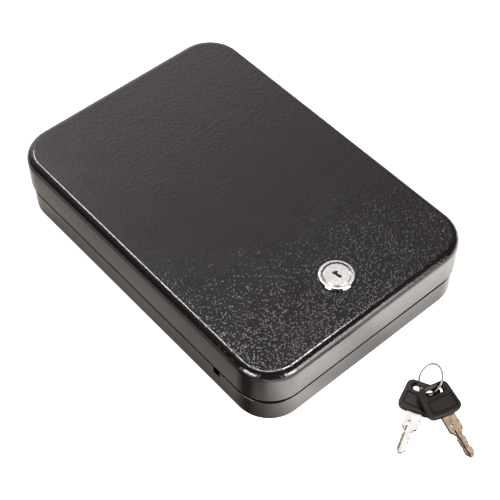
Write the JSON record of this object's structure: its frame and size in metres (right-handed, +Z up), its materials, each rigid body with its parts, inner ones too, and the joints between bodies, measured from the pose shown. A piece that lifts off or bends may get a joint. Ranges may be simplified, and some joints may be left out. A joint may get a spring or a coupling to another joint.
{
  "type": "portable lock box",
  "caption": "Low rectangular steel lock box with a hinged lid over a tray, a keyed cam lock in the lid and loose keys on a ring.",
  "frame": {"origin": "centre of the box's underside, on the surface that it stands on", "axes": "+X across the box, +Y from the lock end to the hinge end, +Z up"},
  "size_m": [0.165, 0.3271, 0.0469],
  "materials": {
    "black_powder_coat": "black textured powder coat on steel sheet",
    "black_hinge": "black satin powder coat",
    "foam": "dark open-cell polyurethane foam",
    "bright_steel": "bright plated steel",
    "zinc_steel": "zinc-plated pressed steel",
    "bright_chrome": "polished chrome on zinc alloy",
    "satin_nickel": "satin nickel",
    "brass": "stamped brass",
    "black_plastic": "moulded black plastic, fine satin texture",
    "key_nickel": "nickel-plated brass, milled"
  },
  "bodies": {
    "base": {"base_shell": "black_powder_coat", "base_foam": "foam", "hinge_base_leaf": "black_hinge", "hinge_pin": "bright_steel", "latch_catch": "zinc_steel"},
    "lid": {"lid_shell": "black_powder_coat", "lid_foam": "foam", "hinge_lid_leaf": "black_hinge", "lock_housing": "bright_chrome", "lock_nut": "zinc_steel"},
    "lock_core": {"lock_plug": "satin_nickel", "lock_wafers": "brass", "stop_washer": "zinc_steel", "cam": "zinc_steel", "cam_washer": "bright_steel", "cam_screw": "bright_steel"},
    "key_ring": {"key_ring": "bright_steel"},
    "key_1": {"key_1_bow": "black_plastic", "key_1_blade": "key_nickel"},
    "key_2": {"key_2_bow": "black_plastic", "key_2_blade": "key_nickel"}
  },
  "joints": [
    {"name": "lid_hinge", "type": "hinge", "parent": "base", "child": "lid", "pos_m": [0, 0.11985, 0.0215], "axis": [-1, 0, 0], "range_deg": [0, 110]},
    {"name": "key_turn", "type": "hinge", "parent": "lid", "child": "lock_core", "pos_m": [0, -0.088, 0.045], "axis": [0, 0, -1], "range_deg": [0, 90]},
    {"name": "keys_lift", "type": "slide", "parent": "base", "child": "key_ring", "axis": [0, 0, 1], "range_m": [0, 0.05]},
    {"name": "key_1_swing", "type": "hinge", "parent": "key_ring", "child": "key_1", "pos_m": [0.0043, -0.1614, 0], "axis": [0, 0, -1], "range_deg": [0, 12]},
    {"name": "key_2_swing", "type": "hinge", "parent": "key_ring", "child": "key_2", "pos_m": [0.00735, -0.16485, 0], "axis": [0, 0, 1], "range_deg": [0, 20]}
  ]
}
